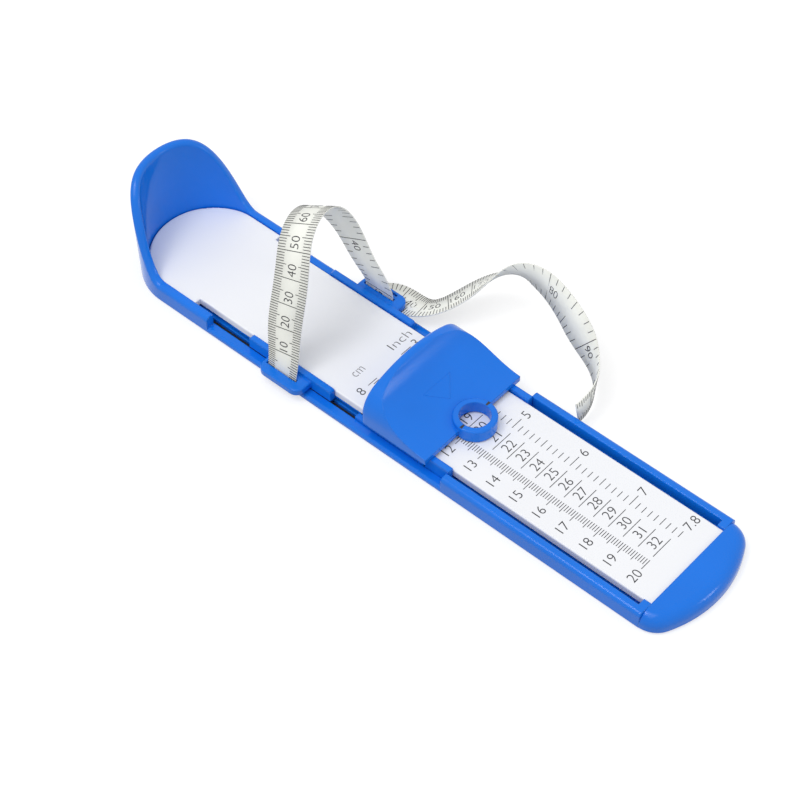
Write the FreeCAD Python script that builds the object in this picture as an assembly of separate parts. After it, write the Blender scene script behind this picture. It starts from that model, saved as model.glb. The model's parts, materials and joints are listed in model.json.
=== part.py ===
import FreeCAD, Part
import math
import os

# Foot measuring device for children's feet: a narrow tray with a heel cup, a printed scale plate
# in it, a toe slider whose ring is read against the scale, and a carriage with a girth tape.
#
# Frame: X runs from the heel to the toes, and X = 0 is the heel cup's inner wall, where the length
# of a foot starts. Y = 0 is the middle plane. Z = 0 is the underside that stands on the table.

V = FreeCAD.Vector

# ---------------------------------------------------------------- driving dimensions, millimetres
# Fits
RUNNING_GAP = 0.3       # between sliding plastic parts
SEAT_GAP = 0.15         # between parts that are only dropped in

# Scale plate
PLATE_TOP = 7.0         # height of the plate's top over the table
PLATE_THICK = 2.8
PLATE_WIDE_END = 36.65  # the plate is as wide as the tray from the heel to here
PLATE_EDGE_ROUND = 0.6

# Tray
TRAY_INNER_WIDTH = 45.6
TRAY_END = 241.1
RAIL_THICK = 3.4
RAIL_PROUD = 0.7        # the rails stand this much over the plate
RAIL_OUTER_ROUND = 1.8
RAIL_INNER_ROUND = 0.4
RAIL_FOOT_CHAMFER = 0.8
HEEL_RAIL_END = 46.0    # the heel's high rails stop here
TOE_RAIL_START = 156.5  # the toe end's high rails start here
LEDGE_TOP = 2.8         # height of the low ledge between them
LEDGE_LIP = 0.2         # the ledge reaches inward past the rails by this much
FLOOR_THICK = 1.5
CHANNEL_WIDTH = 2.9     # of the channels beside the plate
CHANNEL_BAR = 2.9       # length of the bars that end the channels
FLOOR_SLOT_WIDTH = 2.4
FLOOR_SLOT_PITCH = 42.0
FLOOR_SLOT_BRIDGE = 4.0
FLOOR_SLOT_COUNT = 5
HEEL_RIB_THICK = 1.5
HEEL_RIB_PITCH = 5.5
HEEL_RIB_COUNT = 4

# Heel cup
HEEL_DEPTH = 21.4       # from the heel's inner wall to the straight sides
HEEL_CORNER = 17.6      # radius between the heel's flat arc and the sides
HEEL_TOP = 40.7
RIM_RUN = 34.5          # length of rim, from the middle of the heel, over which it drops to the rail
CUP_LEAN = 0.035        # outward lean of the cup's wall, per unit of height over the plate
CUP_RIM_ROUND = 1.5
CUP_STEP = 3.0          # between the cup's cross-sections, along the wall

# End cap
CAP_LENGTH = 13.2
CAP_CORNER = 9.2        # radius between the cap's flat arc and the sides
CAP_TIP_ROUND = 4.6
CAP_FOOT_CHAMFER = 1.0
TONGUE_LENGTH = 8.0
TONGUE_CLEAR = 0.1
TONGUE_IN = 1.0         # the tongue is this much narrower than the plate, on each side
CAP_SCREW_SPACING = 24.0
SCREW_SHANK_D = 1.8
SCREW_HEAD_D = 3.6
SCREW_HEAD_H = 1.0
SCREW_LENGTH = 3.8
SCREW_SUNK = 0.2        # the heads lie this deep in the floor
SCREW_TO_TIP = 3.4      # screw axis to the tongue's end
DRIVER_SLOT_WIDTH = 0.5
DRIVER_SLOT_DEPTH = 0.4

# Toe slider
TOE_FACE = 119.7        # the face that the toes touch
HOOD_INSET = 0.9        # the hood's sides stand this much inside the tray's sides
HOOD_LIFT = 1.0         # gap between the plate's top level and the hood's foot
HOOD_SIDE_HEIGHT = 4.0  # straight part of the hood's sides
HOOD_SHOULDER = 11.0    # radius between the hood's flat top arc and its sides
HOOD_WALL = 2.0
HOOD_SIDE_WALL = 2.8
HOOD_BACK_ROUND = 1.5
HOOD_CORNER_ROUND = 1.5
RAMP = (                # (distance from the toe face, height over the plate): three arcs down
    (0.0, 18.6),        # the hood's ramp, each through three of the points
    (2.0, 18.5),
    (3.4, 17.5),
    (5.6, 14.5),
    (9.3, 10.9),
    (18.3, 5.8),
    (29.3, 3.4),
)
RING_AHEAD = 30.0       # ring's centre ahead of the toe face
RING_OUTER_D = 15.9
RING_HOLE_D = 11.4
RING_TOP = 5.6          # over the plate
RING_LIFT = 0.6
RING_CHAMFER = 0.4

# Slider saddle
SHOE_BACK = 5.4         # the shoes reach this far behind the toe face
SHOE_LENGTH = 42.7
SHOE_TOP = 1.3          # over the plate
SHOE_STEP_DROP = 3.0    # behind the hood the shoes are this much lower than the plate
SADDLE_BRIDGE_THICK = 0.9
SADDLE_BRIDGE_START = 2.3
SADDLE_BRIDGE_LENGTH = 30.0
TAB_START = 3.0         # snap tabs, from the toe face
TAB_LENGTH = 11.0
TAB_TOP = 5.0           # over the plate
TAB_BARB = 0.5
TAB_BARB_HEIGHT = 1.2
BARB_CLEAR = 0.1        # round the barb in the hood's wall
BARB_END = 1.0          # the barb stops this much before the tab's ends
FINGER_LENGTH = 12.0    # spring fingers that hold the slider by friction
FINGER_THICK = 0.8
FINGER_SLIT = 0.6
FINGER_BUMP = 0.2
BUMP_RADIUS = 1.0
BUMP_TO_TIP = 2.0

# Tape carriage
BLOCK_START = 63.6
BLOCK_LENGTH = 39.2
BLOCK_TOP = 0.8         # over the plate
BLOCK_CHAMFER = 0.6
CARRIAGE_BRIDGE_THICK = 0.9
CARRIAGE_BRIDGE_OVER = 12.0   # the bridge reaches past the blocks by this much, both ways
EAR_START = 74.0
EAR_LENGTH = 19.8
EAR_OVERHANG = 3.65     # the ears reach this far past the tray's sides
EAR_THICK = 2.5
EAR_DROP = 0.3          # ear's top under the plate's top level
EAR_CORNER = 3.6
EAR_CHAMFER = 0.4
SLOT_LENGTH = 14.2
SLOT_WIDTH = 1.2
SLOT_CENTRE = 82.65     # along X
NEAR_SLOT_IN = 4.25     # slots' middles, in from the ears' ends
FAR_SLOT_IN = 3.95
GUIDE_SLOT_IN = 1.65    # the second slot in the far ear
GUIDE_SLOT_LENGTH = 13.0
GUIDE_SLOT_WIDTH = 0.9

# Girth tape
TAPE_WIDTH = 13.0
TAPE_THICK = 0.4
TAPE_SECTIONS = 97
# Control points of the tape's middle line, with the direction that its width points in. Over the
# foot: (ahead of the slots' middles, share of the way to the ears' slots, height).
TAPE_ARCH = (
    ((0.3, -0.96, 13.0), (0.99, 0.09, 0.09)),
    ((-1.2, -0.88, 21.5), (0.96, 0.25, 0.16)),
    ((-1.7, -0.8, 30.5), (0.93, 0.33, 0.18)),
    ((-2.2, -0.68, 39.5), (0.93, 0.32, 0.17)),
    ((-3.7, -0.55, 48.0), (0.94, 0.27, 0.2)),
    ((-6.7, -0.37, 55.5), (0.94, 0.24, 0.24)),
    ((-10.2, -0.04, 58.5), (0.92, 0.26, 0.29)),
    ((-12.7, 0.31, 55.5), (0.9, 0.3, 0.31)),
    ((-13.7, 0.57, 49.0), (0.89, 0.3, 0.34)),
    ((-12.7, 0.76, 41.0), (0.9, 0.22, 0.38)),
    ((-9.7, 0.86, 32.5), (0.91, 0.08, 0.41)),
    ((-5.7, 0.88, 24.0), (0.94, 0.0, 0.34)),
    ((-1.2, 0.93, 16.5), (0.99, 0.04, 0.15)),
)
# Free beside the tray: (ahead of the slots' middles, out from the tray's side, height).
TAPE_TAIL = (
    ((0.2, 0.3, 2.4), (1, 0, 0)),
    ((0.8, 2.2, 2.6), (0.9, -0.45, 0)),
    ((4.5, 4.6, 2.9), (0.4, -0.9, 0)),
    ((10.5, 4.6, 3.0), (0.15, -0.98, 0.06)),
    ((16.5, 5.0, 4.4), (0.35, -0.88, 0.3)),
    ((21.5, 8.5, 6.4), (0.6, -0.68, 0.42)),
    ((25.5, 14.5, 9.5), (0.7, -0.55, 0.46)),
    ((29.5, 20.8, 14.0), (0.62, -0.6, 0.5)),
    ((35.5, 25.5, 20.0), (0.35, -0.86, 0.36)),
    ((43.0, 28.5, 24.5), (0.15, -0.93, 0.32)),
    ((52.5, 29.0, 25.0), (0.05, -0.95, 0.3)),
    ((61.5, 26.5, 24.0), (0.1, -0.94, 0.32)),
    ((70.0, 23.5, 22.0), (0.25, -0.93, 0.26)),
    ((77.0, 22.0, 16.0), (0.4, -0.86, 0.3)),
    ((84.5, 19.0, 11.5), (0.42, -0.66, 0.62)),
    ((90.0, 12.5, 9.5), (0.2, -0.36, 0.92)),
    ((91.0, 5.8, 8.0), (0.05, -0.38, 0.93)),
    ((90.7, 2.9, 7.0), (0.0, -0.42, 0.91)),
)

# Anchor pin of the tape
PIN_D = 1.0
PIN_LENGTH = 17.0
PIN_GRIP = 0.1          # play of the tape's end in the pin's slit

# ---------------------------------------------------------------------------- derived from these
PLATE_UNDER = PLATE_TOP - PLATE_THICK
HALF_INNER = TRAY_INNER_WIDTH / 2
HALF_OUTER = HALF_INNER + RAIL_THICK
HALF_PLATE = HALF_INNER - CHANNEL_WIDTH
RAIL_TOP = PLATE_TOP + RAIL_PROUD
CHANNEL_END = TRAY_END - CHANNEL_BAR
SHOE_INNER = HALF_PLATE + RUNNING_GAP
SHOE_OUTER = HALF_INNER - RUNNING_GAP
SADDLE_BRIDGE_UNDER = FLOOR_THICK + RUNNING_GAP
CARRIAGE_BRIDGE_UNDER = SADDLE_BRIDGE_UNDER + SADDLE_BRIDGE_THICK + RUNNING_GAP
EAR_TOP = PLATE_TOP - EAR_DROP
EAR_UNDER = EAR_TOP - EAR_THICK
EAR_REACH = HALF_OUTER + EAR_OVERHANG
NEAR_SLOT_Y = EAR_REACH - NEAR_SLOT_IN
FAR_SLOT_Y = EAR_REACH - FAR_SLOT_IN
GUIDE_SLOT_Y = EAR_REACH - GUIDE_SLOT_IN
HOOD_FOOT = PLATE_TOP + HOOD_LIFT
HALF_HOOD = HALF_OUTER - HOOD_INSET
HOOD_INSIDE = HALF_HOOD - HOOD_SIDE_WALL
TAB_OUTER = HOOD_INSIDE - RUNNING_GAP
BEYOND = 1.0            # how far a cutter or a hidden overlap reaches past a surface
NEAR_ZERO = 0.01        # tolerance when an edge is picked by its place


# ------------------------------------------------------------------------------- small geometry
def box(x0, x1, y0, y1, z0, z1):
    return Part.makeBox(x1 - x0, y1 - y0, z1 - z0, V(x0, y0, z0))


def both_sides(shape):
    """The shape and its mirror image in the middle plane."""
    return [shape, shape.mirror(V(0, 0, 0), V(0, 1, 0))]


def fuse(shapes):
    return shapes[0].multiFuse(shapes[1:]).removeSplitter()


def curve(points):
    spline = Part.BSplineCurve()
    spline.interpolate(points)
    return spline.toShape()


def polygon(points):
    return Part.makePolygon(points + [points[0]])


def prism(edges, direction):
    return Part.Face(Part.Wire(edges)).extrude(direction)


def edges_where(shape, test):
    return [edge for edge in shape.Edges if test(edge)]


def rounded_end(depth, half_width, corner, place):
    """Three arcs that meet smoothly round an end: a flat one across it and one at each corner.

    place turns (distance ahead of the shoulders, sideways) into a point.
    """
    over = half_width - corner
    flat = (depth**2 + over**2 - corner**2) / (2 * (depth - corner))
    meet = math.atan2(over, flat - depth)
    half_way = (meet + math.pi / 2) / 2

    def corner_point(angle, side):
        return place(corner * math.cos(angle), side * (over + corner * math.sin(angle)))

    def arc(a, b, c):
        return Part.Arc(a, b, c).toShape()

    left = [corner_point(angle, -1) for angle in (math.pi / 2, half_way, meet)]
    right = [corner_point(angle, 1) for angle in (meet, half_way, math.pi / 2)]
    return [arc(*left), arc(left[-1], place(depth, 0), right[0]), arc(*right)]


# ------------------------------------------------------------------------------------ base tray
def heel_end(inset, z):
    """The heel's inner plan, drawn in by inset."""
    return rounded_end(
        HEEL_DEPTH - inset,
        HALF_INNER - inset,
        HEEL_CORNER - inset,
        lambda ahead, side: V(HEEL_DEPTH - ahead, side, z),
    )


def heel_outline(inset, x_end, z):
    """Closed outline from the heel's end to a square end at x_end."""
    half = HALF_INNER - inset
    shoulder = V(HEEL_DEPTH, half, z)
    far = V(x_end, half, z)
    straight = [
        Part.makeLine(shoulder, far),
        Part.makeLine(far, V(x_end, -half, z)),
        Part.makeLine(V(x_end, -half, z), V(HEEL_DEPTH, -half, z)),
    ]
    return heel_end(inset, z) + straight


def heel_stations():
    """(point on the inner wall, outward direction, distance from the heel's middle) round it."""
    arcs = heel_end(0, 0)
    whole = sum(edge.Length for edge in arcs)
    done = 0
    stations = []
    for edge in arcs:
        count = math.ceil(edge.Length / CUP_STEP)
        steps = range(count + 1) if edge is arcs[-1] else range(count)
        for i in steps:
            share = i / count
            first, last = edge.ParameterRange
            point = edge.valueAt(first + (last - first) * share)
            outward = (point - edge.Curve.Center).normalize()
            stations.append((point, outward, abs(done + edge.Length * share - whole / 2)))
        done += edge.Length
    return stations


def rim_height(distance):
    """Height of the heel cup's rim, at a distance along it from the middle of the heel."""
    share = min(distance / RIM_RUN, 1.0)
    return RAIL_TOP + (HEEL_TOP - RAIL_TOP) * (1 + math.cos(math.pi * share**2)) / 2


def wall_section(point, outward, height):
    """Cross-section of the rail or cup wall whose inner face stands at point."""
    rise = (height - RAIL_TOP) / (HEEL_TOP - RAIL_TOP)
    round_in = RAIL_INNER_ROUND + (CUP_RIM_ROUND - RAIL_INNER_ROUND) * min(1, 4 * rise)
    round_out = RAIL_OUTER_ROUND + (CUP_RIM_ROUND - RAIL_OUTER_ROUND) * min(1, 4 * rise)
    lean = CUP_LEAN * (height - PLATE_TOP) * min(1, 4 * rise)

    def at(out, z):
        return point + outward * out + V(0, 0, z)

    slant = 1 - math.sqrt(0.5)
    foot = RAIL_FOOT_CHAMFER
    out_out = RAIL_THICK + lean
    edges = [
        Part.makeLine(at(0, 0), at(RAIL_THICK - foot, 0)),
        Part.makeLine(at(RAIL_THICK - foot, 0), at(RAIL_THICK, foot)),
        Part.makeLine(at(RAIL_THICK, foot), at(out_out, height - round_out)),
        Part.Arc(
            at(out_out, height - round_out),
            at(out_out - round_out * slant, height - round_out * slant),
            at(out_out - round_out, height),
        ).toShape(),
        Part.makeLine(at(out_out - round_out, height), at(lean + round_in, height)),
        Part.Arc(
            at(lean + round_in, height),
            at(lean + round_in * slant, height - round_in * slant),
            at(lean, height - round_in),
        ).toShape(),
        Part.makeLine(at(lean, height - round_in), at(0, 0)),
    ]
    return Part.Wire(edges)


def heel_cup():
    sections = [
        wall_section(point, outward, rim_height(distance))
        for point, outward, distance in heel_stations()
    ]
    return Part.makeLoft(sections, True, False)


def rails():
    start = V(HEEL_DEPTH, HALF_INNER, 0)
    section = Part.Face(wall_section(start, V(0, 1, 0), RAIL_TOP))
    rail = section.extrude(V(TRAY_END - HEEL_DEPTH, 0, 0))
    notch = box(HEEL_RAIL_END, TOE_RAIL_START, 0, HALF_OUTER + BEYOND, LEDGE_TOP, HEEL_TOP)
    rail = rail.cut(notch)
    wall = HALF_INNER + BEYOND
    lip = box(PLATE_WIDE_END, CHANNEL_END, HALF_INNER - LEDGE_LIP, wall, 0, LEDGE_TOP)
    end_bar = box(CHANNEL_END, TRAY_END, HALF_PLATE + SEAT_GAP, wall, 0, RAIL_TOP)
    return fuse([rail, lip, end_bar])


def soften_ledge(rail):
    """Chamfers the ledge's outer edge between the high rails."""
    middle = V((HEEL_RAIL_END + TOE_RAIL_START) / 2, HALF_OUTER, LEDGE_TOP)

    def ledge_edge(edge):
        return edge.BoundBox.Center.distanceToPoint(middle) < NEAR_ZERO

    return rail.makeChamfer(RAIL_FOOT_CHAMFER, edges_where(rail, ledge_edge))


def floor_slots():
    """Slots through the floor under the two channels, with bridges of floor between them."""
    slots = []
    for i in range(FLOOR_SLOT_COUNT):
        start = PLATE_WIDE_END + FLOOR_SLOT_BRIDGE / 2 + i * FLOOR_SLOT_PITCH
        end = min(start + FLOOR_SLOT_PITCH - FLOOR_SLOT_BRIDGE, CHANNEL_END - FLOOR_SLOT_BRIDGE / 2)
        centre = (HALF_PLATE + HALF_INNER) / 2
        side = (centre - FLOOR_SLOT_WIDTH / 2, centre + FLOOR_SLOT_WIDTH / 2)
        slots += both_sides(box(start, end, *side, -BEYOND, FLOOR_THICK + BEYOND))
    return slots


def heel_ribs():
    """Ribs across the heel's floor that carry the plate, let into the walls."""
    inside = prism(heel_outline(-RAIL_THICK / 2, HEEL_RAIL_END, 0), V(0, 0, PLATE_UNDER))
    ribs = []
    for i in range(HEEL_RIB_COUNT):
        x = HEEL_RIB_PITCH * (i + 1)
        rib = box(x, x + HEEL_RIB_THICK, -HALF_OUTER, HALF_OUTER, 0, PLATE_UNDER)
        ribs.append(rib.common(inside))
    return ribs


def cap_screw_places():
    x = TRAY_END - TONGUE_LENGTH + SCREW_TO_TIP
    return [V(x, side * CAP_SCREW_SPACING / 2, 0) for side in (-1, 1)]


def countersink(place, clearance):
    head = SCREW_HEAD_D / 2 + clearance
    shank = SCREW_SHANK_D / 2 + clearance
    mouth = Part.makeCylinder(head, SCREW_SUNK, place)
    cone = Part.makeCone(head, shank, SCREW_HEAD_H, place + V(0, 0, SCREW_SUNK))
    hole = Part.makeCylinder(shank, FLOOR_THICK + BEYOND, place)
    return fuse([mouth, cone, hole])


def base_tray():
    floor = prism(heel_outline(-RAIL_THICK / 2, TRAY_END, 0), V(0, 0, FLOOR_THICK))
    rail = soften_ledge(rails())
    tray = fuse([floor, heel_cup()] + both_sides(rail) + heel_ribs())
    cutters = floor_slots() + [countersink(place, TONGUE_CLEAR) for place in cap_screw_places()]
    return tray.cut(Part.makeCompound(cutters))


# ---------------------------------------------------------------------------------- scale plate
def scale_plate():
    blank = prism(heel_outline(SEAT_GAP, TRAY_END, PLATE_UNDER), V(0, 0, PLATE_THICK))
    length = (PLATE_WIDE_END, TRAY_END + BEYOND)
    width = (HALF_PLATE, HALF_INNER + BEYOND)
    side = box(*length, *width, PLATE_UNDER - BEYOND, PLATE_TOP + BEYOND)
    plate = blank.cut(Part.makeCompound(both_sides(side)))

    def top_rim(edge):
        bounds = edge.BoundBox
        return bounds.ZMin > PLATE_TOP - NEAR_ZERO and bounds.XMin < TRAY_END - NEAR_ZERO

    return plate.makeFillet(PLATE_EDGE_ROUND, edges_where(plate, top_rim))


# -------------------------------------------------------------------------------------- end cap
def end_cap():
    tip = rounded_end(
        CAP_LENGTH, HALF_OUTER, CAP_CORNER, lambda ahead, side: V(TRAY_END + ahead, side, 0)
    )
    back = Part.makeLine(V(TRAY_END, HALF_OUTER, 0), V(TRAY_END, -HALF_OUTER, 0))
    cap = prism(tip + [back], V(0, 0, RAIL_TOP))

    def outer(edge, z):
        bounds = edge.BoundBox
        flat = bounds.ZLength < NEAR_ZERO and abs(bounds.ZMin - z) < NEAR_ZERO
        return flat and bounds.XLength > NEAR_ZERO

    cap = cap.makeFillet(CAP_TIP_ROUND, edges_where(cap, lambda edge: outer(edge, RAIL_TOP)))
    cap = cap.makeChamfer(CAP_FOOT_CHAMFER, edges_where(cap, lambda edge: outer(edge, 0)))
    side = HALF_PLATE - TONGUE_IN
    length = (TRAY_END - TONGUE_LENGTH, TRAY_END + BEYOND)
    tongue = box(*length, -side, side, FLOOR_THICK + TONGUE_CLEAR, PLATE_UNDER - TONGUE_CLEAR)
    cap = fuse([cap, tongue])
    pilots = [
        Part.makeCylinder(SCREW_SHANK_D / 2, SCREW_LENGTH, place + V(0, 0, SCREW_SUNK))
        for place in cap_screw_places()
    ]
    return cap.cut(Part.makeCompound(pilots))


def cap_screws():
    screws = []
    for place in cap_screw_places():
        seat = place + V(0, 0, SCREW_SUNK)
        head = Part.makeCone(SCREW_HEAD_D / 2, SCREW_SHANK_D / 2, SCREW_HEAD_H, seat)
        shank = Part.makeCylinder(SCREW_SHANK_D / 2, SCREW_LENGTH, seat)
        half_slot = DRIVER_SLOT_WIDTH / 2
        slot = box(-SCREW_HEAD_D, SCREW_HEAD_D, -half_slot, half_slot, 0, DRIVER_SLOT_DEPTH)
        slot.translate(seat)
        screws.append(fuse([head, shank]).cut(slot))
    return Part.makeCompound(screws)


# ----------------------------------------------------------------------------------- toe slider
def arch(half_width, height, shoulder, start, end):
    """Arched bar between two places along X: straight sides from the hood's foot, then arcs."""
    spring = HOOD_FOOT + HOOD_SIDE_HEIGHT
    over = rounded_end(
        height - HOOD_SIDE_HEIGHT, half_width, shoulder, lambda up, side: V(start, side, spring + up)
    )
    corners = [
        V(start, side * half_width, z)
        for side, z in ((1, spring), (1, HOOD_FOOT), (-1, HOOD_FOOT), (-1, spring))
    ]
    sides = [Part.makeLine(a, b) for a, b in zip(corners, corners[1:])]
    return prism(over + sides, V(end - start, 0, 0))


def ramp(drop):
    """Block across Y under the ramp's profile, lowered by drop."""
    side = -HALF_OUTER
    top = PLATE_TOP - drop
    points = [V(TOE_FACE + x, side, top + z) for x, z in RAMP]
    front = V(points[-1].x, side, 0)
    back = V(points[0].x, side, 0)
    edges = [Part.Arc(*points[i : i + 3]).toShape() for i in (0, 2, 4)]
    edges += [
        Part.makeLine(points[-1], front),
        Part.makeLine(front, back),
        Part.makeLine(back, points[0]),
    ]
    return prism(edges, V(0, -2 * side, 0))


def toe_hood():
    height = RAMP[0][1] - HOOD_LIFT
    front = TOE_FACE + RAMP[-1][0]
    outer = arch(HALF_HOOD, height, HOOD_SHOULDER, TOE_FACE, front)

    def back_arch(edge):
        bounds = edge.BoundBox
        return bounds.XMax < TOE_FACE + NEAR_ZERO and bounds.ZMax > HOOD_FOOT + NEAR_ZERO

    outer = outer.makeFillet(HOOD_BACK_ROUND, edges_where(outer, back_arch))
    outer = outer.common(ramp(0))
    inside = TOE_FACE + HOOD_WALL
    shoulder = HOOD_SHOULDER - HOOD_WALL
    inner = arch(HOOD_INSIDE, height - HOOD_WALL, shoulder, inside, front + BEYOND)
    mouth = box(inside, front + BEYOND, -HOOD_INSIDE, HOOD_INSIDE, 0, HOOD_FOOT + NEAR_ZERO)
    shell = outer.cut(fuse([inner.common(ramp(HOOD_WALL)), mouth]))
    centre = V(TOE_FACE + RING_AHEAD, 0, PLATE_TOP + RING_LIFT)
    ring = Part.makeCylinder(RING_OUTER_D / 2, RING_TOP - RING_LIFT, centre)
    rim = edges_where(ring, lambda edge: edge.BoundBox.ZMin > PLATE_TOP + RING_TOP - NEAR_ZERO)
    ring = ring.makeChamfer(RING_CHAMFER, rim)
    hole = Part.makeCylinder(RING_HOLE_D / 2, RING_TOP + BEYOND, centre - V(0, 0, BEYOND))
    hood = fuse([shell, ring]).cut(hole)
    return hood.cut(Part.makeCompound(both_sides(barb(BARB_CLEAR))))


def barb(clearance):
    """Wedge on the outside of a snap tab that catches in the hood's side wall."""
    top = PLATE_TOP + TAB_TOP + clearance
    low = PLATE_TOP + TAB_TOP - TAB_BARB_HEIGHT - clearance
    inner = TAB_OUTER - TAB_BARB
    outer = TAB_OUTER + TAB_BARB + clearance
    start = TOE_FACE + TAB_START + BARB_END - clearance
    section = polygon([V(start, inner, low), V(start, outer, low), V(start, inner, top)])
    length = TAB_LENGTH - 2 * BARB_END + 2 * clearance
    return Part.Face(section).extrude(V(length, 0, 0))


# -------------------------------------------------------------------------------- slider saddle
def shoe():
    """Sliding shoe on the far side, with a snap tab and a spring finger."""
    back = TOE_FACE - SHOE_BACK
    front = back + SHOE_LENGTH
    inside = TOE_FACE + HOOD_WALL + SEAT_GAP
    side = (SHOE_INNER, SHOE_OUTER)
    foot = SADDLE_BRIDGE_UNDER
    top = PLATE_TOP + SHOE_TOP
    body = box(inside, front, *side, foot, top)
    step = box(back, inside, *side, foot, PLATE_TOP - SHOE_STEP_DROP)
    tab_start = TOE_FACE + TAB_START
    tab_end = tab_start + TAB_LENGTH
    tab = box(tab_start, tab_end, SHOE_INNER, TAB_OUTER, PLATE_TOP, PLATE_TOP + TAB_TOP)
    solid = fuse([body, step, tab, barb(0)])
    root = tab_end + FINGER_THICK
    tip = root + FINGER_LENGTH
    slit_y = SHOE_OUTER - FINGER_THICK - FINGER_SLIT
    through = (foot - BEYOND, top + BEYOND)
    slit = box(root, tip, slit_y, slit_y + FINGER_SLIT, *through)
    gap = box(tip - FINGER_SLIT, tip, slit_y, SHOE_OUTER + BEYOND, *through)
    bump_x = tip - FINGER_SLIT - BUMP_TO_TIP
    bump_y = SHOE_OUTER + FINGER_BUMP - BUMP_RADIUS
    bump = Part.makeCylinder(BUMP_RADIUS, PLATE_UNDER, V(bump_x, bump_y, LEDGE_TOP))
    outside = box(tab_end, front, SHOE_OUTER - FINGER_THICK / 2, HALF_OUTER, 0, HEEL_TOP)
    return fuse([solid.cut(fuse([slit, gap])), bump.common(outside)])


def slider_saddle():
    start = TOE_FACE + SADDLE_BRIDGE_START
    half = (SHOE_INNER + SHOE_OUTER) / 2
    top = SADDLE_BRIDGE_UNDER + SADDLE_BRIDGE_THICK
    bridge = box(start, start + SADDLE_BRIDGE_LENGTH, -half, half, SADDLE_BRIDGE_UNDER, top)
    return fuse([bridge] + both_sides(shoe()))


# -------------------------------------------------------------------------------- tape carriage
def slot_cutter(length, width, y):
    x0 = SLOT_CENTRE - length / 2
    through = (EAR_UNDER - BEYOND, EAR_TOP + BEYOND)
    return box(x0, x0 + length, y - width / 2, y + width / 2, *through)


def ear():
    """One ear on the far side: a rounded tongue that carries the tape's slot."""
    length = (EAR_START, EAR_START + EAR_LENGTH)
    tongue = box(*length, SHOE_OUTER - BEYOND, EAR_REACH, EAR_UNDER, EAR_TOP)

    def corner(edge):
        bounds = edge.BoundBox
        return bounds.ZLength > NEAR_ZERO and bounds.YMin > EAR_REACH - NEAR_ZERO

    tongue = tongue.makeFillet(EAR_CORNER, edges_where(tongue, corner))

    def rim(edge):
        bounds = edge.BoundBox
        return bounds.ZMin > EAR_TOP - NEAR_ZERO and bounds.YMax > SHOE_OUTER

    return tongue.makeChamfer(EAR_CHAMFER, edges_where(tongue, rim))


def tape_carriage():
    start = BLOCK_START
    end = BLOCK_START + BLOCK_LENGTH
    foot = CARRIAGE_BRIDGE_UNDER
    block = box(start, end, SHOE_INNER, SHOE_OUTER, foot, PLATE_TOP + BLOCK_TOP)

    def end_edge(edge):
        bounds = edge.BoundBox
        across = bounds.XLength < NEAR_ZERO and bounds.YLength > NEAR_ZERO
        return across and bounds.ZMin > PLATE_TOP

    block = block.makeChamfer(BLOCK_CHAMFER, edges_where(block, end_edge))
    length = (start - CARRIAGE_BRIDGE_OVER, end + CARRIAGE_BRIDGE_OVER)
    height = (foot, foot + CARRIAGE_BRIDGE_THICK)
    bridge = box(*length, -HALF_PLATE, HALF_PLATE, *height)
    web = box(start, end, HALF_PLATE - BEYOND, SHOE_INNER + BEYOND, *height)
    solid = fuse([bridge] + both_sides(fuse([block, web, ear()])))
    slots = [
        slot_cutter(SLOT_LENGTH, SLOT_WIDTH, -NEAR_SLOT_Y),
        slot_cutter(SLOT_LENGTH, SLOT_WIDTH, FAR_SLOT_Y),
        slot_cutter(GUIDE_SLOT_LENGTH, GUIDE_SLOT_WIDTH, GUIDE_SLOT_Y),
    ]
    return solid.cut(Part.makeCompound(slots))


# ----------------------------------------------------------------------------------- girth tape
def tape_route():
    """The tape's control points from its pin, through both ears' slots, to its free end."""
    flat = V(1, 0, 0)
    x = SLOT_CENTRE
    under = (EAR_UNDER + LEDGE_TOP) / 2
    pinned = [
        (V(x, -NEAR_SLOT_Y, EAR_UNDER - PIN_D / 2), flat),
        (V(x, -NEAR_SLOT_Y, EAR_TOP), flat),
    ]
    over = [
        (V(x + ahead, share * NEAR_SLOT_Y, height), V(*width))
        for (ahead, share, height), width in TAPE_ARCH
    ]
    through = [(V(x, FAR_SLOT_Y, z), flat) for z in (EAR_TOP + EAR_THICK, EAR_TOP, under)]
    free = [
        (V(x + ahead, HALF_OUTER + out, height), V(*width))
        for (ahead, out, height), width in TAPE_TAIL
    ]
    return pinned + over + through + free


def spline_through_poles(poles):
    spline = Part.BSplineCurve()
    spline.buildFromPoles(poles, False, 3)
    return spline


def girth_tape():
    """Strip of flat facets along the route, its section turned by the width directions."""
    route = tape_route()
    middle = spline_through_poles([point for point, width in route])
    facing = spline_through_poles([width for point, width in route])
    sections = []
    for i in range(TAPE_SECTIONS):
        t = i / (TAPE_SECTIONS - 1)
        along = V(*middle.tangent(t)[0])
        across = facing.value(t)
        across = (across - along * across.dot(along)).normalize() * (TAPE_WIDTH / 2)
        up = along.cross(across).normalize() * (TAPE_THICK / 2)
        point = middle.value(t)
        under = [point - across - up, point + across - up]
        over = [point + across + up, point - across + up]
        sections.append(under + over)
    faces = [Part.Face(polygon(sections[0])), Part.Face(polygon(sections[-1]))]
    for here, ahead in zip(sections, sections[1:]):
        for k in range(4):
            corner = (k + 1) % 4
            faces.append(Part.Face(polygon([here[k], here[corner], ahead[corner]])))
            faces.append(Part.Face(polygon([here[k], ahead[corner], ahead[k]])))
    tape = Part.Solid(Part.Shell(faces))
    print("tape length %.1f mm" % middle.length())
    ratio = tape.Volume / (middle.length() * TAPE_WIDTH * TAPE_THICK)
    print("tape volume against its section times its length %.3f" % ratio)
    return tape


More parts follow.
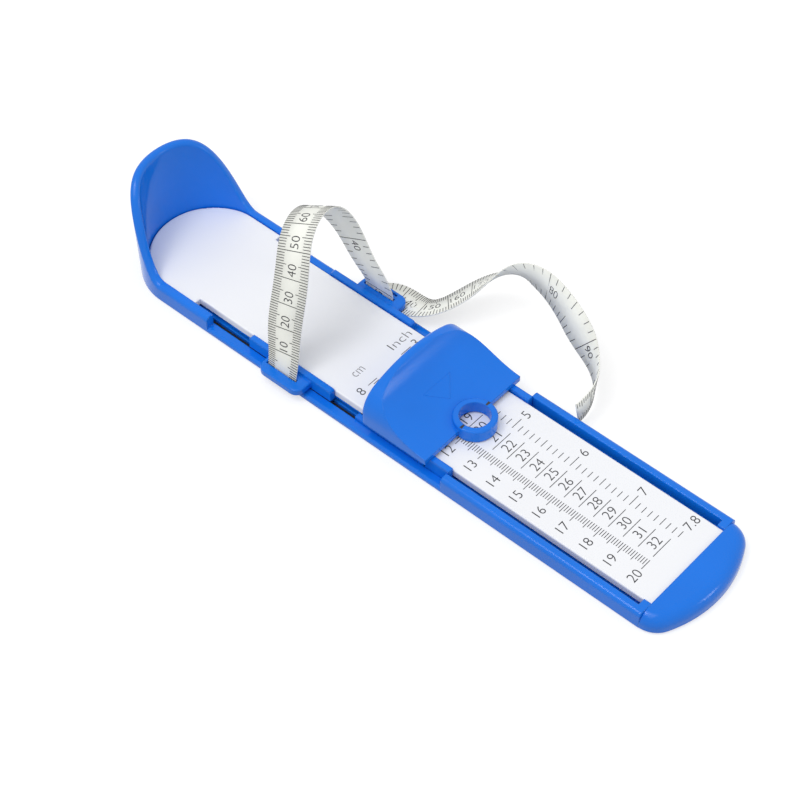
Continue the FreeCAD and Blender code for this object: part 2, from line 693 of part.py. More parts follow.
def tape_anchor_pin():
    """Split pin across the tape's end, under the near ear, too long to pass the slot."""
    y = -NEAR_SLOT_Y
    z = EAR_UNDER - PIN_D / 2
    pin = Part.makeCylinder(
        PIN_D / 2, PIN_LENGTH, V(SLOT_CENTRE - PIN_LENGTH / 2, y, z), V(1, 0, 0)
    )
    slit = box(
        SLOT_CENTRE - TAPE_WIDTH / 2 - RUNNING_GAP,
        SLOT_CENTRE + TAPE_WIDTH / 2 + RUNNING_GAP,
        y - TAPE_THICK / 2 - PIN_GRIP,
        y + TAPE_THICK / 2 + PIN_GRIP,
        z - PIN_GRIP,
        z + PIN_D,
    )
    return pin.cut(slit)


PIECES = {
    "base_tray": base_tray,
    "scale_plate": scale_plate,
    "end_cap": end_cap,
    "cap_screws": cap_screws,
    "toe_hood": toe_hood,
    "slider_saddle": slider_saddle,
    "tape_carriage": tape_carriage,
    "girth_tape": girth_tape,
    "tape_anchor_pin": tape_anchor_pin,
}

os.makedirs("parts", exist_ok=True)
for name, make in PIECES.items():
    solid = make()
    solid.exportStep("parts/%s.step" % name)
    print(name, solid.isValid(), len(solid.Solids), round(solid.Volume, 1))
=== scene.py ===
"""Foot measuring device: finishes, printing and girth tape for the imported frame."""

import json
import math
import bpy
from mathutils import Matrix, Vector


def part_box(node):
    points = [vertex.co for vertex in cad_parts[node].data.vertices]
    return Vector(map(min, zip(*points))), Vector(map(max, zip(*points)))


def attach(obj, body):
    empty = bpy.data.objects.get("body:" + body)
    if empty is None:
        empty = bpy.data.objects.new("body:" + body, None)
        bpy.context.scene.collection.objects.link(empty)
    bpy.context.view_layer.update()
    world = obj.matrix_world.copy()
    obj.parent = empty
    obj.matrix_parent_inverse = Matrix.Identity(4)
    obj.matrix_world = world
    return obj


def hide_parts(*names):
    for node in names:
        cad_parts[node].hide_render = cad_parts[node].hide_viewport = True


bl_info = {
    "name": "Foot measuring device",
    "version": (1, 0, 0),
    "blender": (4, 5, 0),
    "location": "View3D > Sidebar > Foot Gauge",
    "description": "Finishes, printed scales and girth tape of a children's foot measuring device",
    "category": "Object",
}

import bmesh
import bpy
import numpy as np
from bpy.props import FloatProperty, FloatVectorProperty, PointerProperty
from mathutils import Matrix, Vector
from mathutils.bvhtree import BVHTree

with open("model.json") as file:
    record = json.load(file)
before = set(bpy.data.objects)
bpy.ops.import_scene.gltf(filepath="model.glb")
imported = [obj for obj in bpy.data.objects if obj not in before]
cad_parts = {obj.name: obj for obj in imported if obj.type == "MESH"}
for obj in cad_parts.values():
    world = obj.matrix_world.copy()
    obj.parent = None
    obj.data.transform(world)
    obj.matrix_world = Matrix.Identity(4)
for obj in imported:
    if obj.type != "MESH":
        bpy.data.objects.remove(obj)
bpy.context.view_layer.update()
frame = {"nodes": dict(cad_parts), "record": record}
NODES = frame["nodes"]
MM = 0.001
WHITE = (1.0, 1.0, 1.0, 1.0)

# ----------------------------------------------------------------- what the scales are laid out on
PLATE_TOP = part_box("scale_plate")[1].z
PRINT_ZERO = 30.0 * MM      # the ring is read this far ahead of the toe face
INCH = 25.4 * MM
INCH_SHIFT = 2.98 * MM      # the inch scale is printed this much further on
SIZE_PITCH = 6.24 * MM      # between two shoe sizes
SIZE_SHIFT = 0.16 * MM      # the shoe sizes are printed this much further on
INK_SUNK = 0.02 * MM        # how far the ink reaches into what carries it
BEZIER_STEPS = 4            # steps in each curve of a digit
DIGIT_WEIGHT = -0.011       # the font's strokes are thinned by this share of its size
WORD_WEIGHT = -0.02         # and those of the unit words by this one

# Centimetre scale, on the -Y side of the plate
CM_FIRST, CM_LAST = 8, 20
CM_BASE = -6.1 * MM         # Y where its marks start
CM_TICKS = (2.8 * MM, 3.9 * MM, 4.6 * MM)  # short, middle and long marks
CM_NUMBER_Y = -14.4 * MM

# Shoe sizes, along the middle
SIZE_FIRST, SIZE_LAST = 16, 32
SIZE_BASE = -4.2 * MM
SIZE_LINE = 9.6 * MM
SIZE_NUMBER_Y = 0.7 * MM

# Inch scale, on the +Y side
INCH_FIRST, INCH_LAST = 3.0, 7.8
INCH_BASE = 7.7 * MM
INCH_TICKS = (3.0 * MM, 3.7 * MM, 5.1 * MM)
INCH_NUMBER_Y = 15.4 * MM

# Unit words: (text, X and Y of the middle, height, length)
UNIT_WORDS = (
    ("cm", 73.2 * MM, -8.2 * MM, 2.4 * MM, 5.0 * MM),
    ("Inch", 74.1 * MM, 12.6 * MM, 3.4 * MM, 10.2 * MM),
)

# Ring and ramp of the toe slider
RING_X = 149.7 * MM
RING_TOP = 12.6 * MM
WEDGE = ((5.9 * MM, 0.35 * MM), (7.75 * MM, 0.55 * MM))  # (from the ring's middle, half width)
ARROW_BASE_X = 132.2 * MM
ARROW_TIP_X = 138.5 * MM
ARROW_HALF = 7.07 * MM      # half width of its base
ARROW_TIP_HALF = 0.3 * MM
ARROW_PROUD = 0.1 * MM      # it stands this much out of the ramp
ARROW_SUNK = 0.3 * MM       # and its foot lies this much under the ramp's surface
ARROW_SLOPE = 0.25 * MM     # its foot is this much wider than its top, on each side
ARROW_STEPS = 14
OVER_HOOD = 0.1             # height from which the ramp is felt for

# Girth tape: control points of its middle line, in mm, each with the direction its width points in
TAPE_SLOT_X = 82.65
TAPE_SLOT_Y = 25.6
TAPE_GUIDE_Y = 25.9
TRAY_SIDE_Y = 26.2
# from the near slot over the foot: (ahead of the slots, share of the way out to them, height)
TAPE_PINNED = (
    ((0.0, -1.0, 3.7), (1, 0, 0)),
    ((0.0, -1.0, 6.7), (1, 0, 0)),
)
TAPE_ARCH = (
    ((0.3, -0.96, 13.0), (0.99, 0.09, 0.09)),
    ((-1.2, -0.88, 21.5), (0.96, 0.25, 0.16)),
    ((-1.7, -0.8, 30.5), (0.93, 0.33, 0.18)),
    ((-2.2, -0.68, 39.5), (0.93, 0.32, 0.17)),
    ((-3.7, -0.55, 48.0), (0.94, 0.27, 0.2)),
    ((-6.7, -0.37, 55.5), (0.94, 0.24, 0.24)),
    ((-10.2, -0.04, 58.5), (0.92, 0.26, 0.29)),
    ((-12.7, 0.31, 55.5), (0.9, 0.3, 0.31)),
    ((-13.7, 0.57, 49.0), (0.89, 0.3, 0.34)),
    ((-12.7, 0.76, 41.0), (0.9, 0.22, 0.38)),
    ((-9.7, 0.86, 32.5), (0.91, 0.08, 0.41)),
    ((-5.7, 0.88, 24.0), (0.94, 0.0, 0.34)),
    ((-1.2, 0.93, 16.5), (0.99, 0.04, 0.15)),
)
# down through the far slot: heights
TAPE_THROUGH = (9.2, 6.7, 3.5)
# free end: (ahead of the slots, out from the tray's side, height)
TAPE_TAIL = (
    ((0.2, 0.3, 2.4), (1, 0, 0)),
    ((0.8, 2.2, 2.6), (0.9, -0.45, 0)),
    ((4.5, 4.6, 2.9), (0.4, -0.9, 0)),
    ((10.5, 4.6, 3.0), (0.15, -0.98, 0.06)),
    ((16.5, 5.0, 4.4), (0.35, -0.88, 0.3)),
    ((21.5, 8.5, 6.4), (0.6, -0.68, 0.42)),
    ((25.5, 14.5, 9.5), (0.7, -0.55, 0.46)),
    ((29.5, 20.8, 14.0), (0.62, -0.6, 0.5)),
    ((35.5, 25.5, 20.0), (0.45, -0.5, 0.72)),
    ((43.0, 28.5, 24.5), (0.33, -0.23, 0.92)),
    ((52.5, 29.0, 25.0), (0.21, 0.03, 0.98)),
    ((61.5, 26.5, 24.0), (0.21, 0.18, 0.96)),
    ((70.0, 23.5, 22.0), (0.3, 0.28, 0.9)),
    ((77.0, 22.0, 16.0), (0.55, 0.15, 0.8)),
    ((84.5, 19.0, 11.5), (0.55, -0.35, 0.75)),
    ((90.0, 12.5, 9.5), (0.2, -0.36, 0.92)),
    ((91.0, 5.0, 8.0), (0.05, -0.38, 0.93)),
    ((90.2, 1.2, 7.0), (0.0, -0.42, 0.91)),
)
TAPE_SAMPLES = 2401         # points of the middle line that lengths are measured on
TAPE_STATIONS = 261         # cross-sections of the strip
TAPE_SHARP = math.radians(50.0)  # edges with more than this angle between their faces stay sharp
TAPE_PRINT_ZERO = 1.5 * MM  # where its scale starts, from the pinned end
TAPE_DIGIT = 3.3 * MM       # height of its digits
TAPE_LAST_ROOM = 3 * TAPE_DIGIT  # a number needs this much tape after its full line
TAPE_DIGIT_GAP = 0.9 * MM   # from a full line to the number after it
TAPE_TICKS = (3.0 * MM, 4.1 * MM, 13.0 * MM)
TAPE_INCH_TICKS = (2.8 * MM, 4.3 * MM, 13.0 * MM)
TAPE_INK = 0.05 * MM        # how far its ink stands over each face
BEND_STEP = 0.4 * MM        # digits on the tape are cut at this spacing, to bend with it

# Finishes
NOISE_SPAN = (0.3, 0.7)     # nearly all of a noise's values lie between these
EDGE_ROUND = 0.6 * MM       # the moulded parts' edges look rounded by this radius
EDGE_SAMPLES = 6

# View and light
CAMERA_PLACE = (0.4624, -0.3943, 0.6102)
CAMERA_TURN = math.radians(41.35)
CAMERA_ELEVATION = math.radians(49.56)
CAMERA_LENS = 102.56
SENSOR = 36.0
LAMP_AIM = (0.12, 0.0, 0.0)
SOFT_LAMP_PLACE = (0.05, -0.95, 1.95)
GLINT_LAMP_PLACE = (-0.25, -0.85, 1.85)
GLINT_LAMP_SIZE = 0.5
EDGE_LAMP_PLACE = (1.25, 0.5, 0.4)
EDGE_LAMP_SIZE = 0.26

# Floor
FLOOR_HALF = 3.0            # half its side
FLOOR_DROP = 0.02 * MM      # it lies this much under the tray, so the two don't share a plane
FLOOR_LIFT = (0.6, 0.6, 0.6, 1.0)  # what is added where it is looked at, to make it white
# Painted shade on the floor under the tray: its colour and its white lift are cut down there.
UNDER_TRAY = (34.0 * MM, 239.0 * MM, 24.0 * MM)  # X from and to, and half width in Y
PAINTED_SHADE_SHARE = 0.01     # share of the floor's colour and lift that is left there


# ---------------------------------------------------------------------------------------- settings
class FootGaugeFinishes(bpy.types.PropertyGroup):
    """Colours of the four materials and of the ink"""

    blue: FloatVectorProperty(
        name="Blue", description="Colour of the moulded blue parts",
        subtype="COLOR", size=3, min=0.0, max=1.0, default=(0.005, 0.17, 0.74),
    )
    plate: FloatVectorProperty(
        name="Plate", description="Colour of the scale plate",
        subtype="COLOR", size=3, min=0.0, max=1.0, default=(0.86, 0.87, 0.9),
    )
    tape: FloatVectorProperty(
        name="Tape", description="Colour of the coated tape",
        subtype="COLOR", size=3, min=0.0, max=1.0, default=(0.89, 0.9, 0.84),
    )
    steel: FloatVectorProperty(
        name="Steel", description="Colour of the screws and the anchor pin",
        subtype="COLOR", size=3, min=0.0, max=1.0, default=(0.6, 0.6, 0.62),
    )
    ink: FloatVectorProperty(
        name="Ink", description="Colour of the printed scales",
        subtype="COLOR", size=3, min=0.0, max=1.0, default=(0.025, 0.025, 0.03),
    )


class FootGaugePrint(bpy.types.PropertyGroup):
    """Sizes of the printed lines and digits"""

    line_width: FloatProperty(
        name="Line width", description="Width of a printed line on the plate",
        unit="LENGTH", default=0.26 * MM, min=0.05 * MM, max=1.0 * MM,
    )
    ink_height: FloatProperty(
        name="Ink height", description="How far the ink stands over the plate",
        unit="LENGTH", default=0.03 * MM, min=0.01 * MM, max=0.2 * MM,
    )
    number_height: FloatProperty(
        name="Number height", description="Height of the plate's numbers",
        unit="LENGTH", default=3.6 * MM, min=1.0 * MM, max=6.0 * MM,
    )


class FootGaugeTape(bpy.types.PropertyGroup):
    """Sizes of the girth tape"""

    width: FloatProperty(
        name="Width", description="Width of the tape",
        unit="LENGTH", default=13.0 * MM, min=5.0 * MM, max=13.0 * MM,
    )
    thickness: FloatProperty(
        name="Thickness", description="Thickness of the tape",
        unit="LENGTH", default=0.4 * MM, min=0.1 * MM, max=0.5 * MM,
    )
    line_width: FloatProperty(
        name="Line width", description="Width of a printed line on the tape",
        unit="LENGTH", default=0.24 * MM, min=0.05 * MM, max=1.0 * MM,
    )


class FootGaugeStage(bpy.types.PropertyGroup):
    """Light and floor"""

    sky: FloatProperty(
        name="Sky", description="Strength of the even light from all round",
        default=0.7, min=0.0, max=2.0,
    )
    lamp: FloatProperty(
        name="Lamp", description="Power of the soft lamp overhead",
        subtype="POWER", default=15.5, min=0.0, max=200.0,
    )
    glint_lamp: FloatProperty(
        name="Glint lamp", description="Power of the small lamp that draws the upper edges",
        subtype="POWER", default=4.5, min=0.0, max=100.0,
    )
    edge_lamp: FloatProperty(
        name="Edge lamp", description="Power of the low lamp that shows in the hood's hollow",
        subtype="POWER", default=1.3, min=0.0, max=100.0,
    )
    lamp_size: FloatProperty(
        name="Lamp size", description="Width of the soft lamp",
        unit="LENGTH", default=1.5, min=0.1, max=4.0,
    )
    floor: FloatVectorProperty(
        name="Floor", description="Colour of the floor",
        subtype="COLOR", size=3, min=0.0, max=1.0, default=(0.46, 0.46, 0.46),
    )


class FootGaugeSettings(bpy.types.PropertyGroup):
    """All settings of the foot gauge"""

    finishes: PointerProperty(
        name="Finishes", description="Colours", type=FootGaugeFinishes
    )
    printing: PointerProperty(
        name="Print", description="Plate's printed scales", type=FootGaugePrint
    )
    tape: PointerProperty(name="Tape", description="Girth tape", type=FootGaugeTape)
    stage: PointerProperty(name="Stage", description="Light and floor", type=FootGaugeStage)


# --------------------------------------------------------------------------------------- materials
def shaded(colour, factor):
    """A colour made darker or lighter, as RGBA."""
    return tuple(min(1.0, channel * factor) for channel in colour) + (1.0,)


class Finish:
    """A material with one Principled shader, built from noise on the piece's own coordinates."""

    def __init__(self, name):
        self.material = bpy.data.materials.new(name)
        self.material.use_nodes = True
        self.tree = self.material.node_tree
        self.tree.nodes.clear()
        self.shader = self.add("ShaderNodeBsdfPrincipled")
        output = self.add("ShaderNodeOutputMaterial")
        self.join(self.shader, "BSDF", output, "Surface")
        self.coordinates = self.add("ShaderNodeTexCoord")

    def add(self, kind, **values):
        node = self.tree.nodes.new(kind)
        for name, value in values.items():
            setattr(node, name, value)
        return node

    def join(self, source, output, target, socket):
        self.tree.links.new(source.outputs[output], target.inputs[socket])

    def noise(self, scale, detail=3.0, stretch=(1.0, 1.0, 1.0)):
        mapping = self.add("ShaderNodeMapping")
        mapping.inputs["Scale"].default_value = stretch
        noise = self.add("ShaderNodeTexNoise")
        noise.inputs["Scale"].default_value = scale
        noise.inputs["Detail"].default_value = detail
        self.join(self.coordinates, "Object", mapping, "Vector")
        self.join(mapping, "Vector", noise, "Vector")
        return noise

    def colour(self, colour, spread, scale):
        """Base colour that wanders a little round the given one."""
        ramp = self.add("ShaderNodeValToRGB")
        dark, light = ramp.color_ramp.elements
        dark.position, light.position = NOISE_SPAN
        dark.color, light.color = shaded(colour, 1.0 - spread), shaded(colour, 1.0 + spread)
        self.join(self.noise(scale), "Fac", ramp, "Fac")
        self.join(ramp, "Color", self.shader, "Base Color")
        return self

    def roughness(self, low, high, scale, stretch=(1.0, 1.0, 1.0)):
        """Gloss that varies, as handling and the mould leave it."""
        span = self.add("ShaderNodeMapRange")
        span.inputs["From Min"].default_value, span.inputs["From Max"].default_value = NOISE_SPAN
        span.inputs["To Min"].default_value = low
        span.inputs["To Max"].default_value = high
        self.join(self.noise(scale, 4.0, stretch), "Fac", span, "Value")
        self.join(span, "Result", self.shader, "Roughness")

    def bump(self, source, output, distance, strength=1.0, edge=0.0):
        """Fine relief, over edges that look rounded by this radius."""
        bump = self.add("ShaderNodeBump")
        if edge > 0.0:
            rounded = self.add("ShaderNodeBevel", samples=EDGE_SAMPLES)
            rounded.inputs["Radius"].default_value = edge
            self.join(rounded, "Normal", bump, "Normal")
        bump.inputs["Strength"].default_value = strength
        bump.inputs["Distance"].default_value = distance
        self.join(source, output, bump, "Height")
        self.join(bump, "Normal", self.shader, "Normal")


def blue_plastic(colour):
    """Glossy injection-moulded plastic with a faint orange-peel skin."""
    finish = Finish("glossy_blue").colour(colour, spread=0.045, scale=38.0)
    finish.roughness(low=0.12, high=0.18, scale=120.0)
    skin = finish.noise(scale=650.0, detail=2.0)
    finish.bump(skin, "Fac", distance=0.003 * MM, edge=EDGE_ROUND)
    finish.shader.inputs["Specular IOR Level"].default_value = 0.27
    return finish.material


def plate_plastic(colour):
    """Satin white sheet."""
    finish = Finish("satin_white").colour(colour, spread=0.012, scale=26.0)
    finish.roughness(low=0.42, high=0.52, scale=90.0)
    finish.bump(finish.noise(scale=900.0, detail=2.0), "Fac", distance=0.008 * MM)
    return finish.material


def tape_cloth(colour):
    """Coated woven tape: threads across and along, read from the tape's own UV map in mm."""
    finish = Finish("coated_weave").colour(colour, spread=0.03, scale=160.0)
    finish.roughness(low=0.5, high=0.62, scale=400.0)
    threads = finish.add("ShaderNodeMath", operation="MAXIMUM")
    for socket, direction in enumerate("XY"):
        wave = finish.add("ShaderNodeTexWave", bands_direction=direction)
        wave.inputs["Scale"].default_value = 0.8
        wave.inputs["Distortion"].default_value = 0.6
        wave.inputs["Detail"].default_value = 1.0
        finish.join(finish.coordinates, "UV", wave, "Vector")
        finish.tree.links.new(wave.outputs["Fac"], threads.inputs[socket])
    finish.bump(threads, "Value", distance=0.02 * MM, strength=0.6)
    finish.shader.inputs["Sheen Weight"].default_value = 0.05
    return finish.material


def screw_steel(colour):
    """Plain steel with turning marks."""
    finish = Finish("turned_steel").colour(colour, spread=0.06, scale=500.0)
    finish.roughness(low=0.24, high=0.4, scale=900.0, stretch=(1.0, 1.0, 0.1))
    finish.shader.inputs["Metallic"].default_value = 1.0
    finish.bump(finish.noise(scale=1500.0), "Fac", distance=0.01 * MM)
    return finish.material


def print_ink(name, colour):
    """Printing ink, a little uneven in its cover."""
    finish = Finish(name).colour(colour, spread=0.25, scale=900.0)
    finish.roughness(low=0.4, high=0.55, scale=700.0)
    return finish.material


def seen_directly(tree):
    """1 where the camera, a reflection or a clear body looks at the surface, and 0 for light."""
    path = tree.nodes.new("ShaderNodeLightPath")
    seen = path.outputs["Is Camera Ray"]
    for ray in ("Is Glossy Ray", "Is Transmission Ray"):
        either = tree.nodes.new("ShaderNodeMath")
        either.operation = "MAXIMUM"
        tree.links.new(seen, either.inputs[0])
        tree.links.new(path.outputs[ray], either.inputs[1])
        seen = either.outputs[0]
    return seen


def finish_named(name):
    """A finish that the finishes operator made."""
    material = bpy.data.materials.get(name)
    if material is None:
        raise RuntimeError("apply the finishes first: there is no material named " + name)
    return material


# ------------------------------------------------------------------------------------------ meshes
def piece(name, mesh, material, body):
    """A finished piece at the origin that rides on a body."""
    made = bpy.data.objects.new(name, mesh)
    bpy.context.scene.collection.objects.link(made)
    mesh.materials.append(material)
    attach(made, body)
    return made


def flat_word(text, height, length=None, weight=DIGIT_WEIGHT):
    """A mesh of text with its middle at the origin, that high, and one unit thick along Z."""
    letters = bpy.data.curves.new("letters", "FONT")
    letters.body = text
    letters.resolution_u = BEZIER_STEPS
    letters.extrude = 0.5
    letters.offset = weight
    holder = bpy.data.objects.new("letters", letters)
    bpy.context.scene.collection.objects.link(holder)
    bpy.context.view_layer.update()
    shown = holder.evaluated_get(bpy.context.evaluated_depsgraph_get())
    mesh = bpy.data.meshes.new_from_object(shown)
    bpy.data.objects.remove(holder)
    bpy.data.curves.remove(letters)
    points = np.array([vertex.co for vertex in mesh.vertices])
    low, high = points.min(0), points.max(0)
    up = height / (high[1] - low[1])
    along = up if length is None else length / (high[0] - low[0])
    middle = (low + high) / 2
    mesh.transform(
        Matrix.Diagonal((along, up, 1.0, 1.0)) @ Matrix.Translation(-Vector(middle))
    )
    return mesh


def plate_word(bm, text, x, y, height, ink_height, length=None):
    """Adds a word that reads along +Y, with the tops of its letters toward the heel."""
    word = flat_word(text, height, length, DIGIT_WEIGHT if length is None else WORD_WEIGHT)
    thick = ink_height + INK_SUNK
    place = Matrix.Translation((x, y, PLATE_TOP - INK_SUNK + thick / 2))
    turn = Matrix.Rotation(math.radians(90.0), 4, "Z")
    word.transform(place @ turn @ Matrix.Diagonal((1.0, 1.0, thick, 1.0)))
    bm.from_mesh(word)
    bpy.data.meshes.remove(word)


def mesh_from(bm, name):
    """Closes the work on a bmesh: doubles merged, faces outward."""
    bmesh.ops.remove_doubles(bm, verts=bm.verts, dist=1e-7)
    bmesh.ops.recalc_face_normals(bm, faces=bm.faces)
    mesh = bpy.data.meshes.new(name)
    bm.to_mesh(mesh)
    bm.free()
    return mesh


def prism(bm, outline, low, high):
    """Adds an upright prism on an outline of (x, y)."""
    under = [bm.verts.new((x, y, low)) for x, y in outline]
    over = [bm.verts.new((x, y, high)) for x, y in outline]
    bm.faces.new(over)
    bm.faces.new(under[::-1])
    for i in range(len(outline)):
        k = (i + 1) % len(outline)
        bm.faces.new((under[i], under[k], over[k], over[i]))


# ------------------------------------------------------------------------------------- tick marks
ROW_INPUTS = (
    ("Count", "NodeSocketInt"),
    ("Pitch", "NodeSocketFloat"),
    ("First", "NodeSocketVector"),
)
MARK_INPUTS = (
    ("Short", "NodeSocketFloat"),
    ("Middle", "NodeSocketFloat"),
    ("Long", "NodeSocketFloat"),
    ("Middle every", "NodeSocketInt"),
    ("Long every", "NodeSocketInt"),
    ("Side", "NodeSocketFloat"),
    ("Edge", "NodeSocketFloat"),
    ("Line width", "NodeSocketFloat"),
    ("Thickness", "NodeSocketFloat"),
    ("Ink", "NodeSocketMaterial"),
)


class TickTree:
    """Geometry nodes that set out tick marks, on a straight row or at the points of a mesh."""

    def __init__(self, name, straight):
        self.tree = bpy.data.node_groups.new(name, "GeometryNodeTree")
        face = self.tree.interface
        face.new_socket("Geometry", in_out="INPUT", socket_type="NodeSocketGeometry")
        for label, kind in (ROW_INPUTS if straight else ()) + MARK_INPUTS:
            face.new_socket(label, in_out="INPUT", socket_type=kind)
        face.new_socket("Geometry", in_out="OUTPUT", socket_type="NodeSocketGeometry")
        self.given = self.add("NodeGroupInput")
        self.build(straight)

    def add(self, kind, **values):
        node = self.tree.nodes.new(kind)
        for name, value in values.items():
            setattr(node, name, value)
        return node

    def join(self, source, target):
        self.tree.links.new(source, target)

    def maths(self, operation, a, b):
        node = self.add("ShaderNodeMath", operation=operation)
        for socket, value in zip(node.inputs, (a, b)):
            if isinstance(value, float):
                socket.default_value = value
            else:
                self.join(value, socket)
        return node.outputs[0]

    def scaled(self, direction, distance):
        node = self.add("ShaderNodeVectorMath", operation="SCALE")
        self.join(direction, node.inputs[0])
        self.join(distance, node.inputs["Scale"])
        return node.outputs[0]

    def each(self, every, length, otherwise):
        """The length at every so many marks, and otherwise the other one."""
        index = self.add("GeometryNodeInputIndex").outputs[0]
        rest = self.maths("MODULO", index, every)
        pick = self.add("GeometryNodeSwitch", input_type="FLOAT")
        self.join(self.maths("LESS_THAN", rest, 0.5), pick.inputs["Switch"])
        self.join(otherwise, pick.inputs["False"])
        self.join(length, pick.inputs["True"])
        return pick.outputs[0]

    def build(self, straight):
        given = self.given.outputs
        length = self.each(given["Middle every"], given["Middle"], given["Short"])
        length = self.each(given["Long every"], given["Long"], length)
        turned = None
        if straight:
            across = self.add("FunctionNodeInputVector", vector=(0.0, 1.0, 0.0)).outputs[0]
            step = self.add("ShaderNodeCombineXYZ")
            self.join(given["Pitch"], step.inputs["X"])
            row = self.add("GeometryNodeMeshLine", mode="OFFSET")
            self.join(given["Count"], row.inputs["Count"])
            self.join(given["First"], row.inputs["Start Location"])
            self.join(step.outputs[0], row.inputs["Offset"])
            points = row.outputs[0]
        else:
            points = given["Geometry"]
            axes = {}
            for name in ("along", "across"):
                axis = self.add("GeometryNodeInputNamedAttribute", data_type="FLOAT_VECTOR")
                axis.inputs["Name"].default_value = name
                axes[name] = axis.outputs[0]
            across = axes["across"]
            facing = self.add("FunctionNodeAxesToRotation", primary_axis="Y", secondary_axis="X")
            self.join(axes["across"], facing.inputs["Primary Axis"])
            self.join(axes["along"], facing.inputs["Secondary Axis"])
            turned = facing.outputs[0]
        # A mark starts at the edge and runs inward from there, on its own side.
        half = self.maths("MULTIPLY", length, 0.5)
        reach = self.maths("SUBTRACT", given["Edge"], half)
        shift = self.maths("MULTIPLY", reach, given["Side"])
        moved = self.add("GeometryNodeSetPosition")
        self.join(points, moved.inputs["Geometry"])
        self.join(self.scaled(across, shift), moved.inputs["Offset"])
        size = self.add("ShaderNodeCombineXYZ")
        for axis, value in zip("XYZ", (given["Line width"], length, given["Thickness"])):
            self.join(value, size.inputs[axis])
        mark = self.add("GeometryNodeMeshCube")
        placed = self.add("GeometryNodeInstanceOnPoints")
        self.join(moved.outputs[0], placed.inputs["Points"])
        self.join(mark.outputs[0], placed.inputs["Instance"])
        self.join(size.outputs[0], placed.inputs["Scale"])
        if turned is not None:
            self.join(turned, placed.inputs["Rotation"])
        real = self.add("GeometryNodeRealizeInstances")
        inked = self.add("GeometryNodeSetMaterial")
        self.join(placed.outputs[0], real.inputs[0])
        self.join(real.outputs[0], inked.inputs["Geometry"])
        self.join(given["Ink"], inked.inputs["Material"])
        self.join(inked.outputs[0], self.add("NodeGroupOutput").inputs[0])


def marks(name, tree, mesh, values, body):
    """Runs a tick tree on a mesh and keeps the result as a plain piece."""
    made = bpy.data.objects.new(name, mesh)
    bpy.context.scene.collection.objects.link(made)
    modifier = made.modifiers.new("marks", "NODES")
    modifier.node_group = tree
    for item in tree.interface.items_tree:
        if item.in_out == "INPUT" and item.name in values:
            modifier[item.identifier] = values[item.name]
    bpy.context.view_layer.update()
    shown = made.evaluated_get(bpy.context.evaluated_depsgraph_get())
    result = bpy.data.meshes.new_from_object(shown)
    made.modifiers.clear()
    if not result.polygons:
        raise RuntimeError(name + " has no marks")
    result.name = name
    made.data = result
    bpy.data.meshes.remove(mesh)
    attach(made, body)
    return made


def plate_row(name, tree, first_x, pitch, count, base, side, lengths, every, settings):
    """One row of marks on the plate."""
    thick = settings.ink_height + INK_SUNK
    values = {
        "Count": count,
        "Pitch": pitch,
        "First": (first_x, base, PLATE_TOP - INK_SUNK + thick / 2),
        "Short": lengths[0],
        "Middle": lengths[1],
        "Long": lengths[2],
        "Middle every": every[0],
        "Long every": every[1],
        "Side": -side,
        "Edge": 0.0,
        "Line width": settings.line_width,
        "Thickness": thick,
        "Ink": finish_named("plate_ink"),
    }
    blank = bpy.data.meshes.new(name + "_row")
    return marks(name, tree, blank, values, "base")


# -------------------------------------------------------------------------------------- girth tape
def tape_control_points():
    """The route in metres, and its width directions."""
    route = []
    for (ahead, share, height), width in TAPE_PINNED + TAPE_ARCH:
        route.append(((TAPE_SLOT_X + ahead, share * TAPE_SLOT_Y, height), width))
    for height in TAPE_THROUGH:
        route.append(((TAPE_SLOT_X, TAPE_GUIDE_Y, height), (1, 0, 0)))
    for (ahead, out, height), width in TAPE_TAIL:
        route.append(((TAPE_SLOT_X + ahead, TRAY_SIDE_Y + out, height), width))
    points = np.array([point for point, width in route]) * MM
    widths = np.array([width for point, width in route], float)
    return points, widths


def spline_points(poles, parameters):
    """Points of the smooth cubic spline through the ends of its control points."""
    degree = 3
    spans = len(poles) - degree
    knots = np.concatenate(([0.0] * degree, np.linspace(0.0, 1.0, spans + 1), [1.0] * degree))
    result = []
    for t in parameters:
        k = min(int(t * spans), spans - 1) + degree
        work = [poles[j + k - degree] for j in range(degree + 1)]
        for r in range(1, degree + 1):
            for j in range(degree, r - 1, -1):
                low = knots[j + k - degree]
                share = (t - low) / (knots[j + 1 + k - r] - low)
                work[j] = (1.0 - share) * work[j - 1] + share * work[j]
        result.append(work[degree])
    return np.array(result)


class TapeLine:
    """The tape's middle line, with the directions along it, across it and out of its inch face."""

    def __init__(self):
        poles, widths = tape_control_points()
        fine = np.linspace(0.0, 1.0, TAPE_SAMPLES)
        middle = spline_points(poles, fine)
        self.run = np.concatenate(
            ([0.0], np.cumsum(np.linalg.norm(np.diff(middle, axis=0), axis=1)))
        )
        self.length = float(self.run[-1])
        along = np.gradient(middle, axis=0)
        along /= np.linalg.norm(along, axis=1)[:, None]
        across = spline_points(widths, fine)
        across -= along * (across * along).sum(1)[:, None]
        across /= np.linalg.norm(across, axis=1)[:, None]
        self.middle, self.along, self.across = middle, along, across
        self.out = np.cross(along, across)

    def at(self, distances, what):
        """Values of one of the arrays at distances along the tape."""
        return np.stack(
            [np.interp(distances, self.run, what[:, axis]) for axis in range(3)], axis=1
        )


